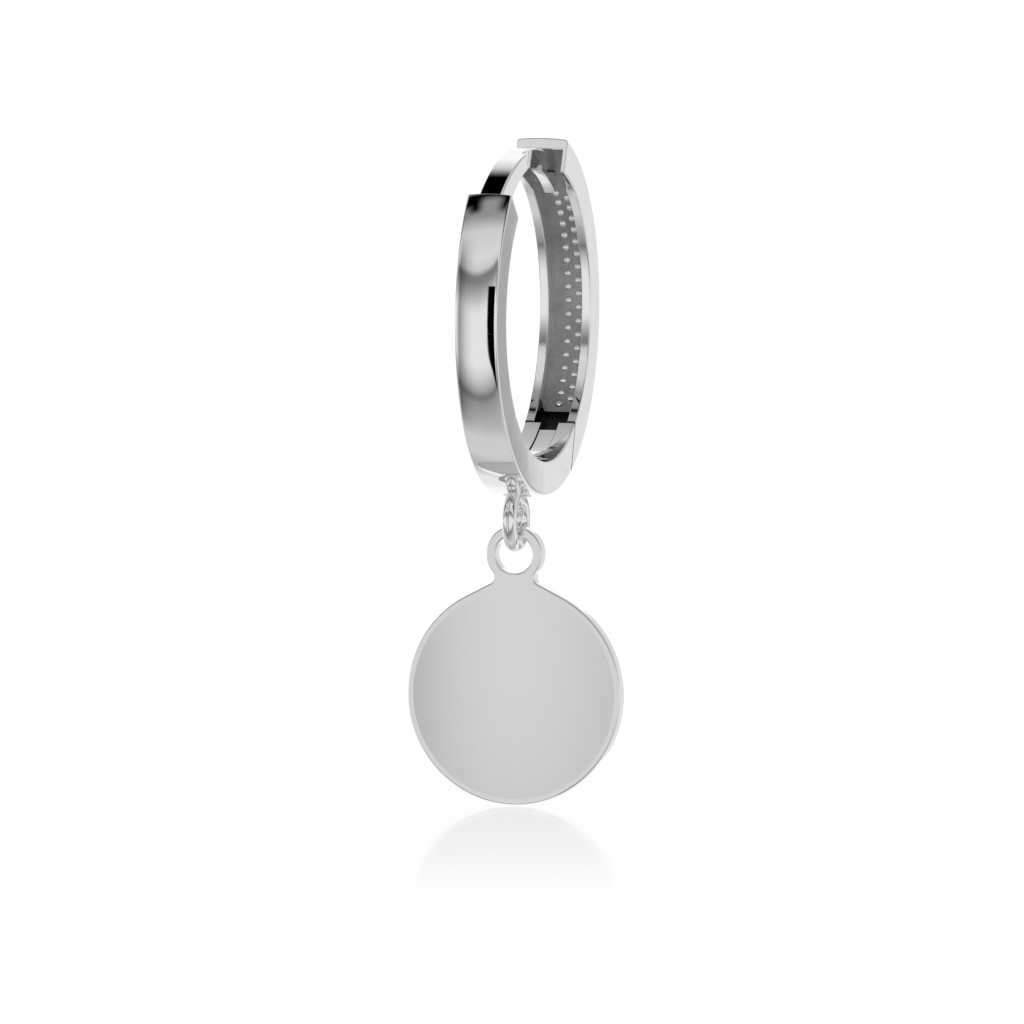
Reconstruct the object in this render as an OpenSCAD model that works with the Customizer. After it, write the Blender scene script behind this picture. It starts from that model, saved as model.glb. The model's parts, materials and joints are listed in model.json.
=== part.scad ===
// Hoop charm earring: a hinged hoop with a fixed ear post, a jump ring soldered under it
// and a plain round disc hanging from the ring.
// Millimetres. X runs across the band, -Y is the front, +Z is up.
// The origin is on the ear post, where the ear lobe sits.
// Angles are in degrees. Each name says whether they start at the top or at the bottom of the hoop.

/* [Hoop] */
// Outside diameter of the hoop
hoop_d = 13.3; // [12:0.1:18]
// Thickness of the band, from its outer face to its inner face
band_t = 1.3; // [1.2:0.05:1.6]
// Width of the band at the very front
band_w_front = 1.6; // [1.5:0.05:2.4]
// Width of the band at the very back
band_w_back = 1.93; // [1.8:0.01:2.6]

/* [Front half] */
// Angle from the top forward to the upper end of the front half
front_end_a = 45; // [35:1:60]

/* [Ear post] */
// Width of the post across the band
post_w = 0.86; // [0.7:0.02:1]
// Thickness of the post where the ear lobe sits
post_t = 0.64; // [0.56:0.02:0.7]
// Radius of the post's outer face, which is flatter than the hoop
post_arc_r = 8.5; // [8:0.25:9]
// Height of the post's inner face over that of the band
post_lift = 0.05; // [0.02:0.01:0.08]
// How far the middle of the ear lobe lies inside the band's middle
lobe_inset = 0.2; // [0.1:0.05:0.3]
// Angle from the top forward to the step where the post narrows
post_step_a = 12; // [4:1:20]
// Width of the narrow tip past the step, which is flush with the post's far side
tip_w = 0.66; // [0.5:0.02:0.76]
// How far the tip stands inside the post's inner face
tip_drop = 0.15; // [0.05:0.01:0.2]
// Angle from the top back to the low corner of the slanted tip
tip_low_a = 7.5; // [0:0.5:10]
// How far the tip's high corner reaches into the back half, as an angle
tip_reach_a = 0.5; // [0.5:0.5:3]
// How deep the post's root is sunk in the front half, as an angle
post_root_a = 3; // [1:1:6]

/* [Back half] */
// Angle from the top back to the upper end of the back half
back_end_a = 20.5; // [17:0.5:24]
// Lean of that end face from the radial line
back_end_lean = 4; // [0:1:15]
// Width of the channel inside the back half
channel_w = 1.24; // [1.1:0.02:1.3]
// Depth of the channel
channel_depth = 0.5; // [0.3:0.05:0.6]
// Angle from the top to the channel's upper end
channel_start_a = 37.5; // [34:0.5:42]
// Angle from the top to the channel's lower end
channel_end_a = 131.5; // [120:0.5:134]
// Thickness of the walls beside the mouth that takes the tip
mouth_wall = 0.15; // [0.12:0.01:0.3]
// Gap between the tip's outer face and the roof of the mouth
mouth_gap = 0.12; // [0.1:0.01:0.16]
// Depth of the well between the channel and the hinge
well_depth = 0.72; // [0.6:0.02:0.8]

/* [Catch tongue] */
// How far the tongue's end stands out of the back half's end, as an angle
catch_reach_a = 3.5; // [1:0.5:5]
// Width of the tongue
catch_w = 0.38; // [0.3:0.02:0.44]
// Thickness of the tongue
catch_t = 0.22; // [0.15:0.01:0.3]
// How far the tongue's foot is sunk in the channel's upper end, as an angle
catch_foot_a = 4; // [2:1:6]
// How far the tongue stands proud of the inner face
catch_proud = 0.05; // [0:0.01:0.1]

/* [Beads in the channel] */
// Diameter of a bead
bead_d = 0.24; // [0.14:0.01:0.26]
// Height of a bead over the floor
bead_h = 0.13; // [0.08:0.01:0.14]
// Angle between two beads of a row
bead_pitch_a = 4.9; // [4:0.1:8]
// Angle from the channel's upper end to the first bead
bead_start_gap_a = 7.7; // [4:0.1:12]
// Angle from the last place for a bead to the channel's lower end
bead_end_gap_a = 3; // [2:0.5:12]
// Distance of the second row from the middle row
bead_row_gap = 0.39; // [0.3:0.01:0.42]

/* [Hinge] */
// Angle from the bottom back to the hinge pin
pin_a = 20; // [18:0.5:21]
// Angle from the bottom back to the seam between the halves
seam_a = 30.5; // [29:0.5:33]
// Lean of the seam from the vertical
seam_lean = 17; // [10:1:20]
// Gap in the seam
seam_gap = 0.06; // [0.05:0.01:0.1]
// Diameter of the hinge pin
pin_d = 0.5; // [0.4:0.02:0.6]
// Radial clearance of the pin in the front half's cheeks
pin_cheek_gap = 0.01; // [0.01:0.01:0.03]
// Radial clearance of the pin in the knuckle
pin_knuckle_gap = 0.03; // [0.01:0.01:0.05]
// How far each end of the pin stays inside the cheeks
pin_end_gap = 0.02; // [0:0.01:0.05]
// Width of the knuckle
knuckle_w = 0.6; // [0.5:0.02:0.7]
// Clearance on each side of the knuckle
knuckle_side_gap = 0.04; // [0.03:0.01:0.06]
// How far the knuckle's round end stays inside the band's faces
knuckle_inset = 0.05; // [0.03:0.01:0.08]
// Clearance round the knuckle's end
knuckle_end_gap = 0.09; // [0.08:0.01:0.12]
// Angle from the bottom back to the end of the knuckle's thick part
knuckle_end_a = 34.5; // [32:0.5:37]

/* [Jump ring] */
// Outside diameter of the jump ring
ring_d = 2.35; // [2.2:0.05:2.6]
// Diameter of its wire
ring_wire_d = 0.54; // [0.5:0.01:0.56]
// How far the ring is let into the hoop
ring_sink = 0.3; // [0.2:0.02:0.34]
// Angle from the bottom forward to the ring
ring_a = 9; // [4:0.5:20]
// Width of the cut in the ring's back limb
ring_cut = 0.04; // [0.02:0.01:0.08]
// Height of the solder over the hoop's outer face
solder_h = 0.14; // [0.05:0.01:0.15]
// Diameter of the solder at its foot
solder_d = 1.1; // [0.9:0.02:1.2]

/* [Disc charm] */
// Diameter of the disc
disc_d = 8; // [6:0.1:12]
// Thickness of the disc and its eye
disc_t = 0.6; // [0.4:0.05:0.65]
// Outside diameter of the eye
eye_d = 2.1; // [1.9:0.05:2.2]
// Diameter of the hole in the eye
eye_hole_d = 1.38; // [1.3:0.02:1.44]
// Height of the eye's centre over the disc's edge
eye_rise = 1.1; // [1:0.05:1.3]
// Width of the neck under the eye
neck_w = 1.52; // [1.3:0.02:1.7]
// Angle from the disc's top to where its shoulders start
shoulder_a = 27; // [22:1:32]
// Gap between the eye and the ring's wire that carries it
hang_gap = 0.03; // [0.02:0.01:0.05]

/* [Hidden] */
$fn = 96;

silver = [0.86, 0.86, 0.87];
channel_silver = [0.62, 0.62, 0.63];

// Room that a cut takes past the metal that it cuts
over = 1;

hoop_r = hoop_d / 2;
inner_r = hoop_r - band_t;
mid_r = hoop_r - band_t / 2;
band_w_most = max(band_w_front, band_w_back);
// Radius that takes in the whole hoop with room to spare
mask_r = hoop_r * 1.3;

post_inner_r = inner_r + post_lift;
tip_inner_r = post_inner_r - tip_drop;
tip_high_a = back_end_a + tip_reach_a;
// How deep the tip's root is sunk in the post, as an angle
tip_root_a = 2;

// The ear lobe sits in the middle of the bare post
lobe_a = (back_end_a - front_end_a) / 2;
lobe = at(lobe_a, mid_r - lobe_inset);

// The post's outer face is centred this high over the hoop's centre
post_face = at(lobe_a, post_inner_r + post_t);
post_arc_z = post_face[1] - sqrt(pow(post_arc_r, 2) - pow(post_face[0], 2));

floor_r = inner_r + channel_depth;
well_r = inner_r + well_depth;
catch_r = inner_r - catch_proud;

// The roof of the mouth is as round as the channel's floor, and rises from it to the end face
mouth_high = at(back_end_a, post_outer_r(back_end_a) + mouth_gap);
mouth_low = at(channel_start_a, floor_r);
mouth_run = mouth_low - mouth_high;
mouth_rise = sqrt(pow(floor_r, 2) - pow(norm(mouth_run) / 2, 2));
mouth_centre = (mouth_high + mouth_low) / 2
    + mouth_rise / norm(mouth_run) * [mouth_run[1], -mouth_run[0]];
mouth_w = band_w_at(mouth_high[0]) - 2 * mouth_wall;

bead_first_a = channel_start_a + bead_start_gap_a;
bead_last_a = channel_end_a - bead_end_gap_a;
bead_sink = bead_d / 2 - bead_h;

pin = at(180 - pin_a, mid_r);
pin_l = band_w_at(pin[0]) - 2 * pin_end_gap;
seam = at(180 - seam_a, mid_r);
// Both halves are drawn this far past the seam, as an angle, before it is cut
seam_room_a = seam_a - pin_a;
knuckle_r = band_t / 2 - knuckle_inset;
slot_r = knuckle_r + knuckle_end_gap;
slot_w = knuckle_w + 2 * knuckle_side_gap;
tongue_outer_r = hoop_r - knuckle_inset;
tongue_inner_r = inner_r + knuckle_inset;
// The knuckle's tongue reaches this far past the seam into the back half
tongue_root_a = 6;

ring_r = (ring_d - ring_wire_d) / 2;
ring_hole_r = ring_r - ring_wire_d / 2;
ring_centre_r = hoop_r - ring_sink + ring_d / 2;
ring_centre = at(180 + ring_a, ring_centre_r);

disc_r = disc_d / 2;
// The eye's hole rests on the inside of the ring at the two edges of the eye
eye_top = sqrt(pow(ring_hole_r, 2) - pow(disc_t / 2, 2)) - hang_gap;
eye_drop = eye_top + eye_hole_d / 2;
disc_drop = eye_drop + eye_rise + disc_r;

// A point of the hoop's plane as [y, z], from its angle back from the top and its radius
function at(a, r) = [r * sin(a), r * cos(a)];

// Width of the band at a place y from the front to the back
function band_w_at(y) = band_w_front + (band_w_back - band_w_front) * (y + hoop_r) / hoop_d;

// Radius of the post's outer face at an angle from the top
function post_outer_r(a) = post_arc_z * cos(a)
    + sqrt(pow(post_arc_r, 2) - pow(post_arc_z * sin(a), 2));

// Pie slice from angle a0 to angle a1, for cutting the hoop to length
function slice(a0, a1, steps = 8) = concat(
    [[0, 0]],
    [for (i = [0:steps]) at(a0 + (a1 - a0) * i / steps, mask_r)]
);

// Extrudes a drawing of the hoop's plane across the band
module across(w) {
    rotate([90, 0, 90])
        linear_extrude(height = w, center = true)
            children();
}

module annulus(outer_r, inner_r) {
    difference() {
        circle(r = outer_r);
        circle(r = inner_r);
    }
}

module arc_band(outer_r, inner_r, a0, a1) {
    intersection() {
        annulus(outer_r, inner_r);
        polygon(slice(a0, a1));
    }
}

// The side faces of the band, which lie a little wider apart at the back
module side_faces() {
    linear_extrude(height = 2 * mask_r, center = true)
        polygon([
            [-band_w_at(-mask_r) / 2, -mask_r],
            [band_w_at(-mask_r) / 2, -mask_r],
            [band_w_at(mask_r) / 2, mask_r],
            [-band_w_at(mask_r) / 2, mask_r]
        ]);
}

// The ground past the seam's gap that a half gives up: 1 is the front half's cut, -1 is the back half's
module seam_side(side) {
    translate(seam)
        rotate(-seam_lean)
            translate([side * (over + band_t - seam_gap / 2), 0])
                square([2 * (over + band_t), 2 * (over + band_t)], center = true);
}

module front_band() {
    difference() {
        intersection() {
            across(band_w_most + over)
                difference() {
                    arc_band(hoop_r, inner_r, -front_end_a, -180 - seam_a - seam_room_a);
                    seam_side(1);
                }
            side_faces();
        }
        knuckle_slot();
        pin_bore(pin_cheek_gap);
    }
}

// The slot between the two cheeks that hold the knuckle
module knuckle_slot() {
    across(slot_w) {
        translate(pin)
            circle(r = slot_r);
        polygon(slice(180 - pin_a, 180 - 2 * seam_a));
    }
}

module pin_bore(gap) {
    translate([0, pin[0], pin[1]])
        rotate([0, 90, 0])
            cylinder(d = pin_d + 2 * gap, h = band_w_most + over, center = true);
}

// The space under the post's outer face and outside a circle round the hoop's centre
module post_section(low_r) {
    difference() {
        translate([0, post_arc_z])
            circle(r = post_arc_r);
        circle(r = low_r);
    }
}

// The post that goes through the ear, with its step and its slanted tip
module ear_post() {
    across(post_w)
        intersection() {
            post_section(post_inner_r);
            polygon(slice(-front_end_a - post_root_a, -post_step_a));
        }
    translate([(tip_w - post_w) / 2, 0, 0])
        across(tip_w)
            intersection() {
                post_section(tip_inner_r);
                polygon([
                    at(-post_step_a - tip_root_a, inner_r / 2),
                    at(tip_low_a, tip_inner_r - 0.01),
                    at(tip_high_a, post_outer_r(tip_high_a) + 0.01),
                    at(tip_low_a, mask_r),
                    at(-post_step_a - tip_root_a, mask_r)
                ]);
            }
}

// The jump ring stands in the hoop's plane, cut through its back limb
module jump_ring() {
    translate([0, ring_centre[0], ring_centre[1]])
        difference() {
            rotate([0, 90, 0])
                rotate_extrude()
                    translate([ring_r, 0])
                        circle(d = ring_wire_d);
            translate([0, ring_r, 0])
                cube([2 * ring_wire_d, 2 * ring_wire_d, ring_cut], center = true);
        }
}

// A cone of solder from inside the band down round the top of the ring
module solder() {
    rotate([-180 - ring_a, 0, 0])
        translate([0, 0, hoop_r - band_t / 4])
            cylinder(d1 = solder_d, d2 = ring_wire_d, h = band_t / 4 + solder_h);
}

module front_half() {
    color(silver)
        in_place() {
            front_band();
            ear_post();
            jump_ring();
            solder();
        }
}

module hinge_pin() {
    color(silver)
        in_place()
            translate([0, pin[0], pin[1]])
                rotate([0, 90, 0])
                    cylinder(d = pin_d, h = pin_l, center = true);
}

// The half-plane past the back half's upper end face
module end_cut() {
    translate(at(back_end_a, mid_r))
        rotate(-back_end_a - back_end_lean)
            translate([-2 * band_t, 0])
                square([4 * band_t, 4 * band_t], center = true);
}

module back_band() {
    intersection() {
        across(band_w_most + over)
            difference() {
                arc_band(hoop_r, inner_r, back_end_a / 2, 180 - seam_a + seam_room_a);
                seam_side(-1);
                end_cut();
            }
        side_faces();
    }
}

// The mouth narrows from the end face to the width of the channel
module mouth() {
    intersection() {
        across(mouth_w + over)
            intersection() {
                translate(mouth_centre)
                    circle(r = floor_r);
                polygon(slice(0, channel_start_a));
            }
        linear_extrude(height = 2 * hoop_r, center = true)
            polygon([
                [-mouth_w / 2, mouth_high[0]],
                [-mouth_w / 2, 0],
                [mouth_w / 2, 0],
                [mouth_w / 2, mouth_high[0]],
                [channel_w / 2, mouth_low[0]],
                [-channel_w / 2, mouth_low[0]]
            ]);
    }
}

// The mouth for the post's tip, the beaded channel and the well over the hinge
module back_hollows() {
    mouth();
    across(channel_w)
        arc_band(floor_r, inner_r - over, channel_start_a, channel_end_a);
    across(channel_w)
        arc_band(well_r, inner_r - over, channel_end_a, 180 - pin_a);
}

// The tongue stands out of the channel's upper end and lies over the pocket
module catch_tongue() {
    across(catch_w)
        arc_band(catch_r + catch_t, catch_r, back_end_a - catch_reach_a, channel_start_a);
    across(catch_w)
        arc_band(mid_r, catch_r, channel_start_a - catch_foot_a, channel_start_a + 1);
}

module bead(a, x) {
    rotate([-a, 0, 0])
        translate([x, 0, floor_r + bead_sink])
            sphere(d = bead_d, $fn = 24);
}

// A row down the middle, and a second row beside it set half a pitch further on
module beads() {
    for (a = [bead_first_a:bead_pitch_a:bead_last_a])
        bead(a, 0);
    for (a = [bead_first_a + bead_pitch_a / 2:bead_pitch_a:bead_last_a])
        bead(a, bead_row_gap);
}

// The knuckle's eye and its thick part, with a thinner root under the well
module knuckle() {
    across(knuckle_w)
        translate(pin)
            circle(r = knuckle_r);
    across(knuckle_w)
        arc_band(tongue_outer_r, tongue_inner_r, 180 - knuckle_end_a, 180 - pin_a);
    across(knuckle_w)
        arc_band(tongue_outer_r, well_r, 180 - seam_a - tongue_root_a, 180 - pin_a);
}

module back_half() {
    color(channel_silver)
        in_place()
            difference() {
                union() {
                    difference() {
                        back_band();
                        back_hollows();
                    }
                    knuckle();
                    catch_tongue();
                    beads();
                }
                pin_bore(pin_knuckle_gap);
            }
}

// Cuts a drawing of the disc's plane out of sheet as thick as the disc
module sheet(t = disc_t) {
    rotate([90, 0, 0])
        linear_extrude(height = t, center = true)
            children();
}

// The disc with its sloping shoulders, from the disc's centre
module disc() {
    shoulder_z = (disc_r - neck_w / 2 * sin(shoulder_a)) / cos(shoulder_a);
    sheet()
        circle(r = disc_r);
    sheet()
        polygon([
            at(-shoulder_a, disc_r),
            [-neck_w / 2, shoulder_z],
            [neck_w / 2, shoulder_z],
            at(shoulder_a, disc_r),
            [0, 0]
        ]);
}

// The eye on its neck, from the disc's centre
module eye() {
    sheet()
        translate([-neck_w / 2, 0])
            square([neck_w, disc_r + eye_rise]);
    sheet()
        translate([0, disc_r + eye_rise])
            circle(d = eye_d);
}

module disc_charm() {
    color(silver)
        in_place()
            translate([0, ring_centre[0], ring_centre[1] - disc_drop])
                difference() {
                    union() {
                        disc();
                        eye();
                    }
                    sheet(disc_t + over)
                        translate([0, disc_r + eye_rise])
                            circle(d = eye_hole_d);
                }
}

// Moves a piece from the hoop's centre to its place in the ear's frame
module in_place() {
    translate([0, -lobe[0], -lobe[1]])
        children();
}

front_half();
hinge_pin();
back_half();
disc_charm();
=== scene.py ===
import json
import math

import bmesh
import bpy
from bpy.props import FloatProperty, FloatVectorProperty, IntProperty, PointerProperty
from mathutils import Matrix, Vector


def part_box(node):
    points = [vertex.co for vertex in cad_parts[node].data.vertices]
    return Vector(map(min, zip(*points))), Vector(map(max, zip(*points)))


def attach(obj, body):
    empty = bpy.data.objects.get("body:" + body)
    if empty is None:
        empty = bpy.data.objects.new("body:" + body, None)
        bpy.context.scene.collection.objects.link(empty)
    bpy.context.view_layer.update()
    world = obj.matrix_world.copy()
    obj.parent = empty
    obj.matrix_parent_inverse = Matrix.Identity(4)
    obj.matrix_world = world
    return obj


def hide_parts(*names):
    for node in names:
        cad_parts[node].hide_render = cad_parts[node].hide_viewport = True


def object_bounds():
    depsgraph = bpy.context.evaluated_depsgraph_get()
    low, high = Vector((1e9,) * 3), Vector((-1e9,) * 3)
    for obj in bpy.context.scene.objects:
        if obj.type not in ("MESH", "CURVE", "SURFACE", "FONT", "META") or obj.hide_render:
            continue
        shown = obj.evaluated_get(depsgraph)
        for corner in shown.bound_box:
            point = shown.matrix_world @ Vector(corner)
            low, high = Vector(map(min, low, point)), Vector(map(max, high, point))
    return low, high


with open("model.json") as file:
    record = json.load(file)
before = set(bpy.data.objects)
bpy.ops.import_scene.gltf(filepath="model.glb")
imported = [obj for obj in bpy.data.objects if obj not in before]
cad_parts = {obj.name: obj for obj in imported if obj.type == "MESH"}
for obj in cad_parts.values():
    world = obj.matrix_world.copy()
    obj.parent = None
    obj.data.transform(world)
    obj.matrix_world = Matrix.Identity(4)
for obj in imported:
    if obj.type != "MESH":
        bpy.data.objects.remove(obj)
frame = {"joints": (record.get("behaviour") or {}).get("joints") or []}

bl_info = {
    "name": "Hoop Charm Earring",
    "version": (1, 0, 0),
    "blender": (4, 5, 0),
    "location": "3D View > Sidebar > Earring",
    "description": "A hinged silver hoop with a plain round disc charm on a jump ring",
    "category": "Add Mesh",
}

CAD_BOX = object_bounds()
MM = 0.001
# Distance under which two vertices are one
WELD = 1e-7
# Segments of a rounding that catches the light
FINE = 5
# Angle over which the channel's floor drops into the well
STEP = math.radians(0.2)
# Cosine from which a face counts as facing the hoop's centre
FACING = 0.7

# Places that the frame gives
JOINTS = {joint["name"]: Vector(joint["pos_m"]) for joint in frame["joints"]}
PIN = JOINTS["back_hinge"]
RING = JOINTS["charm_swing"]
FRONT_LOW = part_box("front_half")[0]
BACK_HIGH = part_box("back_half")[1]
DISC_LOW, DISC_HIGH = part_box("disc_charm")
PIN_LOW, PIN_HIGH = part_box("hinge_pin")
HOOP_R = (BACK_HIGH.y - FRONT_LOW.y) / 2
HOOP_Y = (BACK_HIGH.y + FRONT_LOW.y) / 2
DISC_R = (DISC_HIGH.x - DISC_LOW.x) / 2


# Sizes and finishes


def length(name, description, millimetres):
    """A property that holds a length, with its default given in millimetres."""
    return FloatProperty(
        name=name,
        description=description,
        default=millimetres * MM,
        min=0.0,
        precision=5,
        subtype="DISTANCE",
        unit="LENGTH",
    )


def turn(name, description, degrees):
    """A property that holds an angle, with its default given in degrees."""
    return FloatProperty(
        name=name,
        description=description,
        default=math.radians(degrees),
        subtype="ANGLE",
        unit="ROTATION",
    )


def share(name, description, value):
    """A property between 0 and 1."""
    return FloatProperty(
        name=name, description=description, default=value, min=0.0, max=1.0, subtype="FACTOR"
    )


def grey(name, description, red, green, blue):
    """A property that holds the colour of a metal."""
    return FloatVectorProperty(
        name=name,
        description=description,
        default=(red, green, blue, 1.0),
        size=4,
        min=0.0,
        max=1.0,
        subtype="COLOR",
    )


class EarringHoop(bpy.types.PropertyGroup):
    thickness: length("Band thickness", "From the outer face to the inner face", 1.3)
    width_front: length("Front width", "Width of the band at the very front", 1.6)
    width_back: length("Back width", "Width of the band at the very back", 1.93)
    outer_round: length("Outer rounding", "Radius of the band's outer edges", 0.09)
    inner_round: length("Inner rounding", "Radius of the band's inner edges", 0.05)
    crown: length("Crown", "How far the outer face rises in its middle", 0.06)
    side_swell: length("Side swell", "How far each side face swells halfway from the front to the back", 0.04)
    end_round: length("End rounding", "Radius of the edges of the upper ends", 0.045)
    seam_round: length("Seam rounding", "Radius of the edges at the seam and the hinge", 0.015)
    front_end: turn("Front end", "From the top forward to the front half's upper end", 45)
    back_end: turn("Back end", "From the top back to the back half's upper end", 20.5)
    back_end_lean: turn("Back end lean", "Lean of that end face from the radial line", 4)
    seam: turn("Seam", "From the bottom back to the seam", 30.5)
    seam_lean: turn("Seam lean", "Lean of the seam from the vertical", 17)
    seam_gap: length("Seam gap", "Gap between the two halves", 0.06)


class EarringPost(bpy.types.PropertyGroup):
    width: length("Post width", "Width of the post across the band", 0.86)
    thickness: length("Post thickness", "Thickness of the post where the ear lobe sits", 0.64)
    arc: length("Post arc", "Radius of the post's outer face, which is flatter than the hoop", 8.5)
    lift: length("Post lift", "Height of the post's inner face over that of the band", 0.05)
    round: length("Post rounding", "Radius of the post's edges", 0.06)
    step: turn("Step", "From the top forward to the step", 12)
    tip_width: length("Tip width", "Width of the tip past the step", 0.66)
    tip_drop: length("Tip drop", "How far the tip stands inside the post's inner face", 0.15)
    tip_low: turn("Tip's low corner", "From the top back to the low corner of the slanted tip", 7.5)
    tip_reach: turn("Tip reach", "How far the tip's high corner reaches into the back half", 0.5)


class EarringChannel(bpy.types.PropertyGroup):
    width: length("Channel width", "Width of the channel inside the back half", 1.24)
    depth: length("Channel depth", "Depth of the channel", 0.5)
    well_depth: length("Well depth", "Depth of the well between the channel and the hinge", 0.72)
    lip_round: length("Lip rounding", "Radius of the channel's lips", 0.04)
    start: turn("Channel start", "From the top to the channel's upper end", 37.5)
    end: turn("Channel end", "From the top to the channel's lower end", 131.5)
    corner: turn("Channel corner", "Roundness of the floor's two lower corners", 2.5)
    mouth_wall: length("Mouth wall", "Thickness of the walls beside the mouth", 0.15)
    mouth_gap: length("Mouth gap", "Gap between the tip and the roof of the mouth", 0.12)


class EarringCatch(bpy.types.PropertyGroup):
    reach: turn("Catch reach", "How far the tongue stands out of the back half", 3.5)
    width: length("Catch width", "Width of the tongue", 0.38)
    thickness: length("Catch thickness", "Thickness of the tongue", 0.22)
    proud: length("Catch height", "How far the tongue stands proud of the inner face", 0.05)
    foot: turn("Catch foot", "Length of the tongue's foot along the channel", 4)


class EarringBeads(bpy.types.PropertyGroup):
    diameter: length("Bead diameter", "Diameter of a bead", 0.3)
    height: length("Bead height", "Height of a bead over the floor", 0.15)
    pitch: turn("Bead pitch", "Angle between two beads of a row", 4.9)
    start_gap: turn("First bead", "From the channel's upper end to the first bead", 7.7)
    end_gap: turn("Last bead", "From the last place for a bead to the channel's lower end", 3)
    row_gap: length("Row gap", "Distance of the second row from the middle row", 0.39)


class EarringHinge(bpy.types.PropertyGroup):
    pin_clearance: length("Pin clearance", "Radial gap round the pin in the cheeks", 0.005)
    pin_round: length("Pin rounding", "Radius of the edges of the pin's ends", 0.006)
    knuckle_width: length("Knuckle width", "Width of the knuckle", 0.6)
    side_gap: length("Side gap", "Clearance on each side of the knuckle", 0.04)
    knuckle_inset: length("Knuckle inset", "How far the knuckle stays inside the band's faces", 0.05)
    end_gap: length("End gap", "Clearance round the knuckle's end", 0.09)
    root: turn("Knuckle root", "How far the knuckle reaches past the seam", 6)
    thick_end: turn("Thick part's end", "From the bottom back to the end of the knuckle's thick part", 34.5)


class EarringRing(bpy.types.PropertyGroup):
    diameter: length("Ring diameter", "Outside diameter of the jump ring", 2.35)
    wire: length("Wire diameter", "Diameter of the ring's wire", 0.54)
    cut: length("Cut", "Width of the cut in the ring's back limb", 0.02)
    place: turn("Ring place", "From the bottom forward to the ring", 9)
    solder_height: length("Solder height", "Height of the solder over the hoop's outer face", 0.13)
    solder_width: length("Solder width", "Diameter of the solder at its foot", 1.04)


class EarringCharm(bpy.types.PropertyGroup):
    eye: length("Eye diameter", "Outside diameter of the eye", 2.1)
    hole: length("Hole diameter", "Diameter of the hole in the eye", 1.38)
    rise: length("Eye rise", "Height of the eye's centre over the disc's edge", 1.1)
    neck: length("Neck width", "Width of the neck under the eye", 1.52)
    shoulder: turn("Shoulder", "From the disc's top to where its shoulders start", 27)
    fillet: length("Fillet", "Radius of the inner corners at the neck", 0.12)
    rim_round: length("Rim rounding", "Radius of the charm's edges", 0.14)
    dish: length("Dish", "How far the middle of the disc's front lies below its rim", 0.15)


class EarringFinish(bpy.types.PropertyGroup):
    silver: grey("Polished silver", "Colour of the polished metal", 0.93, 0.93, 0.935)
    satin: grey("Satin silver", "Colour of the disc's face", 0.95, 0.95, 0.955)
    blast: grey("Blasted silver", "Colour of the channel's floor and the mouth's roof", 0.42, 0.42, 0.425)
    cast: grey("Cast silver", "Colour of the mouth's walls and the solder", 0.72, 0.72, 0.725)
    # Near black for the well by the hinge: painted shade that stands for the deep well's shadow, with some
    # tarnish.
    tarnish_and_shade: grey("Tarnish and painted shade", "Colour of the dark metal in the well by the hinge", 0.06, 0.06, 0.06)
    polish: share("Polish roughness", "Roughness of the polished metal", 0.03)
    cast_rough: share("Cast roughness", "Roughness of the mouth's walls, solder and well", 0.22)
    satin_rough: share("Satin roughness", "Roughness of the disc's face", 0.26)
    blast_rough: share("Blast roughness", "Roughness of the channel's floor and the mouth's roof", 0.48)


class EarringStage(bpy.types.PropertyGroup):
    azimuth: turn("Azimuth", "Angle of the camera round the earring, from the front to the right", 15.84)
    elevation: turn("Elevation", "Angle of the camera over the horizon", 4.21)
    distance: length("Camera distance", "Distance of the camera from the hoop's centre", 400)
    field: length("Field", "Width of what the picture shows", 37.1)
    centre_u: FloatProperty(name="Across", description="Pixel of the hoop's centre, across", default=524.84)
    centre_v: FloatProperty(name="Down", description="Pixel of the hoop's centre, down", default=313.47)
    picture: IntProperty(name="Picture side", description="Pixels along a side of the picture", default=1024)
    floor_gap: length("Floor gap", "Height of the disc over the floor", 0.03)
    floor_size: length("Floor size", "Side of the square floor", 1600)
    mirror: share("Floor mirror", "How strongly the floor mirrors what touches it", 0.4)
    mirror_fade: length("Mirror fade", "Distance over which the mirroring fades", 75)
    flag_width: length("Flag width", "Width of the small black card over the post", 1.8)
    flag_length: length("Flag length", "Length of that card from front to back", 3.24)
    flag_solid: share("Solid part", "Share of that card's length before it starts to fade away", 0.6)
    flag_back: length("Flag place", "From the front of the hoop back to the middle of that card", 4.47)
    flag_height: length("Flag height", "Height of that card over the ear's hole", 2)
    floor_light: FloatProperty(name="Floor light", description="Brightness of the floor", default=1.06)
    floor_rough: share("Floor roughness", "Roughness of the floor's mirroring", 0.06)


GROUPS = {
    "earring_hoop": EarringHoop,
    "earring_post": EarringPost,
    "earring_channel": EarringChannel,
    "earring_catch": EarringCatch,
    "earring_beads": EarringBeads,
    "earring_hinge": EarringHinge,
    "earring_ring": EarringRing,
    "earring_charm": EarringCharm,
    "earring_finish": EarringFinish,
    "earring_stage": EarringStage,
}


# Places on the hoop


def middle_r(hoop):
    return HOOP_R - hoop.thickness / 2


def inner_r(hoop):
    return HOOP_R - hoop.thickness


def hoop_z(hoop):
    """Height of the hoop's centre, worked out from the pin, which lies in the middle of the band."""
    return PIN.z + math.sqrt(middle_r(hoop) ** 2 - (PIN.y - HOOP_Y) ** 2)


def hoop_centre(hoop):
    return Vector((0, HOOP_Y, hoop_z(hoop)))


def on_hoop(hoop, angle, radius, x=0.0):
    """A point from its angle back from the top, its radius and its place across the band."""
    return hoop_centre(hoop) + Vector((x, radius * math.sin(angle), radius * math.cos(angle)))


def polar(hoop, point):
    """The angle back from the top and the radius of a point."""
    away = point - hoop_centre(hoop)
    return math.atan2(away.y, away.z), math.hypot(away.y, away.z)


def half_width(hoop, y):
    """Half the width of the band at a place from the front to the back, with its slightly convex sides."""
    back = (y - HOOP_Y + HOOP_R) / (2 * HOOP_R)
    swell = hoop.side_swell * 4 * back * (1 - back)
    return (hoop.width_front + (hoop.width_back - hoop.width_front) * back) / 2 + swell


# Mesh work


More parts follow.
